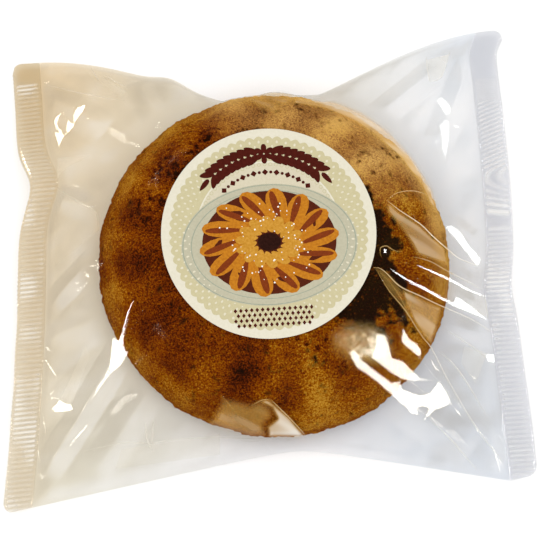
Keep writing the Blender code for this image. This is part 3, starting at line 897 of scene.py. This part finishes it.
def sealPlaces(side):
    ribs = seal["left"] if side < 0 else seal["right"]
    inward = np.linspace(0, 1, seal["columns"] + 1)[:, None] * (bag["sealWidth"] + 0.15)
    across = np.linspace(-1, 1, seal["rows"] + 1)[None, :]
    endY = bag["sealMiddle"] + bag["sealHalf"] * across
    teeth = seal["tooth"] * (0.5 - 0.5 * np.cos(math.tau * endY / seal["pitch"]))
    edge = leftEdge(endY) if side < 0 else rightEdge(endY)
    x = edge - side * (inward + teeth * np.clip(1 - inward / 1.5, 0, 1))
    cut = bag["cornerRounding"] - np.clip(inward, 0, bag["cornerRounding"])
    inset = bag["cornerRounding"] - np.sqrt(bag["cornerRounding"] ** 2 - cut**2)
    y = betweenSides(x, across, inset)
    tilt = ribs["tilt"] + ribs["farTilt"] * smoothStep(y, 10, 45) * (1 - smoothStep(y, 80, 95))
    crest = np.cos(math.tau * (y - tilt * x) / seal["pitch"])
    pressed = smoothStep(inward, 0.8, 1.8) * (1 - smoothStep(inward, 12.4, 13.4))
    pressed = pressed * (1 - smoothStep(y, ribs["reach"] - 2, ribs["reach"] + 2))
    flat = np.stack([x, y, 0 * x], axis=-1)
    patchy = smoothStep(0.5 + 0.5 * softNoise(flat, 12, 31 + side), *ribs["patches"])
    pressed = pressed * (ribs["least"] + ribs["most"] * patchy)
    sway = softNoise(flat * (0.4, 1, 0), 16, 33 + side) * 0.7 * smoothStep(14 - inward, 0, 6)
    sway += softNoise(flat, 3.2, 36 + side) * 0.15 * smoothStep(softNoise(flat, 12, 39 + side), 0.3, 0.9)
    z = seamHeight(endY, side) + seal["ribHeight"] * crest * pressed + sway
    places = np.stack([x, y, z], axis=-1)
    # painted glints: the rib crests are painted milky in patches, where light would catch them
    paintedCrestGlints = (0.5 + 0.5 * crest) * pressed
    return (places, paintedCrestGlints) if side < 0 else (places[::-1], paintedCrestGlints[::-1])


for side, name in ((-1, "endSealLeft"), (1, "endSealRight")):
    strip = bmesh.new()
    places, paintedCrestGlints = sealPlaces(side)
    gridSheet(strip, places, {"fold": paintedCrestGlints, "shine": 0 * paintedCrestGlints + 1})
    thicken(finishPiece(name, strip, sealMaterial, "bag"), seal["thickness"], 0)
print("seals built")


# The cake

crust = {
    # directions in degrees from the right
    "torn": 136,
    "golden": 130,
    "sunny": 30,
    "paintedSheen": 66,
    # direction, width and darkness; below zero the groove is golden
    "grooves": (
        (253, 10, 0.15), (222, 4, 0.1), (209, 5, 0.02), (182, 8, 0.13), (167, 4, 0.14),
        (282, 7, -0.27), (150, 7, -0.14),
    ),
    "pits": ((8, -44.5), (12, -47), (17, -49), (21, -45.5)),
    "knot": (51, -6),
}


def cakeProfile():
    # from the hole over the crest to the foot and back, as radius and height
    low, hole, crest = cake["base"], cake["holeRadius"], cake["crestRadius"]
    rise = np.linspace(0, math.pi / 2, 34)[1:-1]
    bore = low + 2 + (cake["height"] - low - 2) * np.sin(rise) ** 0.8
    share = np.sin(np.linspace(0, math.pi / 2, 64))
    flank = crest + (cake["radius"] - crest) * share
    foot = [(86.5, 6.6), (86.4, 5.2), (86.2, 3.8), (85.8, 2.4), (85.0, 1.2), (83.8, low)]
    inner = zip(crest - (crest - hole) * np.cos(rise) ** 0.7, bore)
    return [(hole, low + 1.2), *inner, *zip(flank, crustFall(share)), *foot, (60, low), (36, low), (16, low)]


def crustTones(points, degrees, radius, ridges, fade, holes, torn, knot):
    # darker in the grooves and at the lower left, more golden at the rim; the lit side towards the upper
    # right is painted lighter
    rim = smoothStep(radius, 72, 82)
    sunny = np.cos(np.radians(degrees - crust["sunny"]))
    bake = 0.50 + 0.10 * ridges * fade + 0.10 * softNoise(points, 24, 46) + 0.08 * softNoise(points, 9, 47)
    bake += 0.28 * np.clip(sunny, 0, 1) ** 2 - 0.04 * np.clip(-sunny, 0, 1)
    bake += (0.19 + 0.1 * bump(degrees, crust["golden"], 40)) * smoothStep(radius, 73, 82)
    for place, width, depth in crust["grooves"]:
        bake -= depth * bump(degrees, place, width) * (1 - 0.6 * smoothStep(radius, 74, 84))
    # painted shade: pores and pits are darker where shade falls into them
    bake -= 0.6 * np.clip(holes, 0, 1) + torn * (0.27 - 0.24 * smoothStep(radius, 56, 68))
    around = (degrees + 180) % 360 - 180
    bake -= 0.2 * bump(around, 16, 14) * (1 - smoothStep(radius, 58, 68))
    # cocoa dough on the right, from the label's edge outwards
    reach = 52 + 6 * smoothStep(-around, -20, -2) + 7 * smoothStep(-around, 10, 30)
    reach = reach + 6 * softNoise(points, 6, 53)
    patch = (1 - smoothStep(around, 20, 38)) * smoothStep(around, -60, -44)
    patch *= 1 - smoothStep(radius, reach - 6, reach + 7)
    grain = 0.2 * softNoise(points, 5, 48) + 0.3 * softNoise(points, 1.8, 50)
    cocoa = np.maximum(smoothStep(patch + grain, 0.05, 0.85), smoothStep(knot, 0.2, 0.6))
    # painted sheen in place of a reflected veil at the far right and on the rim's lit side, thinner over the
    # cocoa and the golden patch
    paintedLighter = smoothStep(np.cos(np.radians(degrees - crust["paintedSheen"])), 0.6, 0.92)
    paintedLighter *= (0.75 + 0.25 * softNoise(points, 14, 51)) * (0.7 + 0.2 * rim)
    paintedLighter = (paintedLighter + 0.5 * smoothStep(sunny, 0.65, 0.95) * rim) * (0.82 + 0.18 * ridges) * (1 - 0.9 * cocoa)
    return {"bake": bake, "cocoa": cocoa, "paintedSheen": np.clip(paintedLighter, 0, 1.4)}


def bakeCake():
    mesh = bmesh.new()
    chain = [mesh.verts.new((radius, 0, height)) for radius, height in cakeProfile()]
    chain += [mesh.edges.new(pair) for pair in zip(chain, chain[1:] + chain[:1])]
    about = {"cent": (0, 0, 0), "axis": (0, 0, 1), "angle": math.tau}
    bmesh.ops.spin(mesh, geom=chain, steps=cake["spinSteps"], use_merge=True, **about)
    bmesh.ops.recalc_face_normals(mesh, faces=mesh.faces)
    mesh.normal_update()
    points = np.array([vertex.co for vertex in mesh.verts])
    normals = np.array([vertex.normal for vertex in mesh.verts])
    radius = np.hypot(points[:, 0], points[:, 1])
    turn = np.arctan2(points[:, 1], points[:, 0])
    degrees = np.degrees(turn) % 360
    outward = np.minimum(outwardShare(radius), 1)
    ridges = flutes(turn, outward)
    upper = smoothStep(points[:, 2], 1, 6)
    fade = np.clip(outward * 1.6, 0, 1) * (1 - 0.9 * smoothStep(outward, 0.8, 1)) * upper
    depth = cake["fluteDepth"] * 0.5 * (1 - ridges) * fade
    lumps = 0.25 * (softNoise(points, 13, 41) + 1) + 0.25 * softNoise(points, 5, 42)
    crumb = 0.22 * softNoise(points, 2.2, 43) + 0.14 * softNoise(points, 1.1, 44)
    crumb *= 1 + smoothStep(outward, 0.85, 1)
    # torn open crumb, scattered pores and a few deeper pits
    torn = bump(degrees, crust["torn"], 26) * smoothStep(radius, 46, 51) * upper
    torn = torn * (1 - smoothStep(radius, 62, 78))
    pores = np.clip(0.6 * softNoise(points, 3.1, 45) + 0.7 * softNoise(points, 1.3, 52) - 0.1, 0, 1)
    holes = pores * 1.8 * torn + 0.5 * np.clip(softNoise(points, 1.5, 49) - 0.7, 0, 1)
    for pit in crust["pits"]:
        holes += 1.3 * spot(points, *pit, 0.9) * upper
    points -= normals * (depth + (lumps + crumb + 0.25) * upper + holes)[:, None]
    points[:, :2] *= ovalShare(turn)[:, None]
    points[:, 1] += cake["forward"]
    knot = spot(points, *crust["knot"], 3) * upper
    points[:, 2] = np.maximum(points[:, 2] + 1.6 * knot, cake["base"])
    layers = crustTones(points, degrees, radius, ridges, fade, holes, torn, knot)
    stores = {name: mesh.verts.layers.float.new(name) for name in layers}
    for index, vertex in enumerate(mesh.verts):
        vertex.co = points[index]
        for name, store in stores.items():
            vertex[store] = layers[name][index]
    return mesh


finishPiece("cake", bakeCake(), crustMaterial(), "bag")
print("cake built")


# The label


def circle(mesh, radius, segments, widths, hollow=False):
    # a flat disc inset by each width in turn, its middle open or closed by a fan
    made = bmesh.ops.create_circle(mesh, cap_ends=True, radius=radius, segments=segments)["verts"]
    middle = [made[0].link_faces[0]]
    for width in widths:
        bmesh.ops.inset_individual(mesh, faces=middle, thickness=width)
    if hollow:
        bmesh.ops.delete(mesh, geom=middle, context="FACES_ONLY")
    else:
        bmesh.ops.poke(mesh, faces=middle)
    return made


def spread(mesh, wide, deep, place):
    bmesh.ops.scale(mesh, verts=mesh.verts, vec=(wide, deep, 1))
    bmesh.ops.translate(mesh, verts=mesh.verts, vec=(*place, 0))


def drape(mesh, lift):
    bmesh.ops.translate(mesh, verts=mesh.verts, vec=(*label["middle"], 0))
    for vertex in mesh.verts:
        vertex.co.z += float(labelDome(*vertex.co.xy)) + label["gap"] + label["thickness"] + lift


def petal(mesh, place, turn, length, width, taper=0.0, segments=14):
    # a flat petal, grain or dot or, with four corners, a diamond
    made = bmesh.ops.create_circle(mesh, cap_ends=True, radius=0.5, segments=segments)["verts"]
    for vertex in made:
        vertex.co = (vertex.co.x * length, vertex.co.y * width * (1 - taper * 2 * vertex.co.x), 0)
    bmesh.ops.rotate(mesh, verts=made, cent=(0, 0, 0), matrix=Matrix.Rotation(turn, 3, "Z"))
    bmesh.ops.translate(mesh, verts=made, vec=(*place, 0))


def onCircle(radius, turn, x=0, y=0):
    return x + radius * math.cos(turn), y + radius * math.sin(turn)


art = {
    "centre": (0, -5),
    "wide": 1.27,
    "petals": 14,
    "lacePetals": 64,
    # radius, length, width and taper of the rows of holes
    "holes": (((43.6, 1.5, 1.1, 0.2), (39.2, 1.5, 0.9, -0.2)), ((41.3, 1.3, 0.8, 0), (37.2, 0.7, 0.7, 0))),
    "beads": 76,
    "sugar": 90,
}
# width, depth and place of the plate, and of the cake on it
plate = (1.32, 0.93, (0, -6))
heart = (art["wide"], 1, art["centre"])

paper = bmesh.new()
circle(paper, label["radius"], 192, [label["radius"] / 12] * 11)
drape(paper, 0)
coated = paperMaterial("labelPaper", "#d3cdb8", "#d9d3c0", 0.4)
thicken(finishPiece("labelPaper", paper, coated, "label", smooth=False), 0.25, -1)


def printPiece(name, draw, colour, second, layer, *settings):
    # one colour of the print, in a layer of its own
    mesh = bmesh.new()
    draw(mesh, *settings)
    drape(mesh, 0.02 + 0.025 * layer)
    faceUp(mesh)
    ink = paperMaterial(name + "Ink", colour, second, 0.42)
    thicken(finishPiece(name, mesh, ink, "label", smooth=False), 0.01, -1)


def lacePrint(mesh):
    for vertex in circle(mesh, 46, 576, (3, 3, 3, 3), True):
        swell = abs(math.sin(art["lacePetals"] / 2 * math.atan2(vertex.co.y, vertex.co.x)))
        vertex.co *= (45 + 1.3 * swell) / 46


def laceHoles(mesh):
    for step in range(2 * art["lacePetals"]):
        turn = math.pi * (step + 1) / art["lacePetals"]
        for radius, length, width, taper in art["holes"][step % 2]:
            petal(mesh, onCircle(radius, turn), turn, length, width, taper, 8)


def beadRow(mesh):
    for step in range(art["beads"]):
        circle(mesh, 0.95, 10, (0.32,), True)
        bead = [vertex for vertex in mesh.verts if vertex.co.length < 1]
        place = onCircle(32.4, math.tau * step / art["beads"])
        bmesh.ops.translate(mesh, verts=bead, vec=(*place, 0))


def brownMarks(mesh):
    # a wheat ear on each side of a flower, along the upper rim
    for side in (-1, 1):
        for step in range(8):
            turn = math.radians(90 - side * (9 + 4.9 * step))
            for radius, lean in ((39.8, 0.62), (35, -0.62)):
                petal(mesh, onCircle(radius, turn), turn + side * (lean - math.pi / 2), 7, 3.2, 0.25)
        tip = math.radians(90 - side * 50)
        petal(mesh, onCircle(37.5, tip), tip - side * math.pi / 2, 6.8, 2.4, 0.3)
    for step in range(6):
        turn = math.radians(60 * step + 30)
        petal(mesh, onCircle(2.6, turn, 0, 37.6), turn, 4.6, 2.6, -0.2)
    # a garland of diamonds and dots below it
    for step in range(-8, 9):
        turn = math.radians(90 - 5.4 * step)
        size, corners = (1.5, 10) if step % 2 else (3.0, 4)
        petal(mesh, onCircle(28.6, turn), turn, size, size, 0, corners)
    # a lattice of small diamonds on the lower rim
    for row in range(4):
        for column in range(-7, 8 - row % 2):
            petal(mesh, (column * 2.5 + 1.25 * (row % 2), -36.4 - 2.35 * row), 0, 1.7, 2.1, 0, 4)


def ovalDisc(mesh, radius, wide, deep, place, segments=64, rings=4):
    circle(mesh, radius, segments, [radius / rings] * (rings - 1))
    spread(mesh, wide, deep, place)


def plateLines(mesh):
    for radius, width in ((30.6, 0.35), (27.6, 0.3)):
        circle(mesh, radius, 96, (width,), True)
    spread(mesh, *plate)


def rosette(mesh, reach, length, width, taper, shift):
    for step in range(art["petals"]):
        turn = math.tau * (step + shift) / art["petals"]
        petal(mesh, onCircle(reach, turn), turn + 0.35, length, width, taper, 16)
    spread(mesh, *heart)


def sugarDots(mesh):
    chance = np.random.default_rng(71)
    count = art["sugar"]
    turns, reaches = chance.uniform(0, 6.28, count), chance.normal(11.5, 3.2, count)
    for turn, reach, size in zip(turns, reaches, chance.uniform(0.35, 0.9, count)):
        petal(mesh, onCircle(reach * art["wide"], turn, *art["centre"]), turn, size, size, 0, 7)


printPiece("lacePrint", lacePrint, "#beb48d", "#c3ba95", 0)
printPiece("paperWash", ovalDisc, "#c7bea4", "#cdc4ac", 0, 33.2, 1, 1, (0, 0))
printPiece("laceHoles", laceHoles, "#d2cbb2", "#d6cfb8", 1)
printPiece("beadRow", beadRow, "#b9b38d", "#bfb896", 0)
printPiece("brownMarks", brownMarks, "#420d02", "#4e1206", 2)
printPiece("plateDisc", ovalDisc, "#b0ab93", "#b8b39b", 1, 31, *plate, 96, 6)
printPiece("plateLines", plateLines, "#8f9684", "#99a08e", 2)
printPiece("rustDisc", ovalDisc, "#4a1704", "#561d05", 2, 24.5, *heart)
printPiece("goldPetals", rosette, "#a86410", "#c27c18", 3, 16.6, 19, 7.4, -0.28, 0)
printPiece("amberPetals", rosette, "#6c2a06", "#823608", 4, 17.4, 14.5, 2.6, -0.3, 0.12)
printPiece("crownPetals", rosette, "#b27a1c", "#c89238", 5, 8.4, 8.5, 3.9, -0.3, 0.5)
printPiece("darkHeart", ovalDisc, "#240a03", "#301006", 6, 4.2, *heart)
printPiece("sugarDots", sugarDots, "#ece6da", "#f4f0e8", 7)
print("label built")


# Floor, soft light and camera

for name, (*_, width, height, radiance, colour, lights) in studio["boxes"].items():
    light = bpy.data.lights.new(name, "AREA")
    light.shape = "RECTANGLE"
    light.size = width
    light.size_y = height
    light.color = linearColour(colour)[:3]
    light.energy = radiance * width * height * 4
    box = bpy.data.objects.new(name, light)
    box.location, way = boxPlace(name)
    box.rotation_euler = (-way).to_track_quat("-Z", "Y").to_euler()
    box.visible_glossy = not lights
    box.visible_diffuse = lights
    bpy.context.scene.collection.objects.link(box)

world = bpy.data.worlds.new("studioAir")
world.use_nodes = True
air = world.node_tree.nodes["Background"].inputs
air["Color"].default_value = (1, 1, 1, 1)
air["Strength"].default_value = studio["world"]
world.cycles_visibility.glossy = False
bpy.context.scene.world = world

floorMesh = bmesh.new()
bmesh.ops.create_grid(floorMesh, x_segments=1, y_segments=1, size=3)
floor = newObject("studioFloor", floorMesh, paperMaterial("paintedFloor", "#f4f4f4", "#f6f6f6", 0.7))
floor.visible_glossy = False

cameraData = bpy.data.cameras.new("camera")
cameraData.lens = 79.2
cameraData.sensor_width = 36
camera = bpy.data.objects.new("camera", cameraData)
camera.location = studio["lens"]
camera.rotation_euler = (math.radians(11), 0, math.radians(-3.5))
bpy.context.scene.collection.objects.link(camera)
bpy.context.scene.camera = camera
bpy.context.scene.view_settings.view_transform = "Standard"
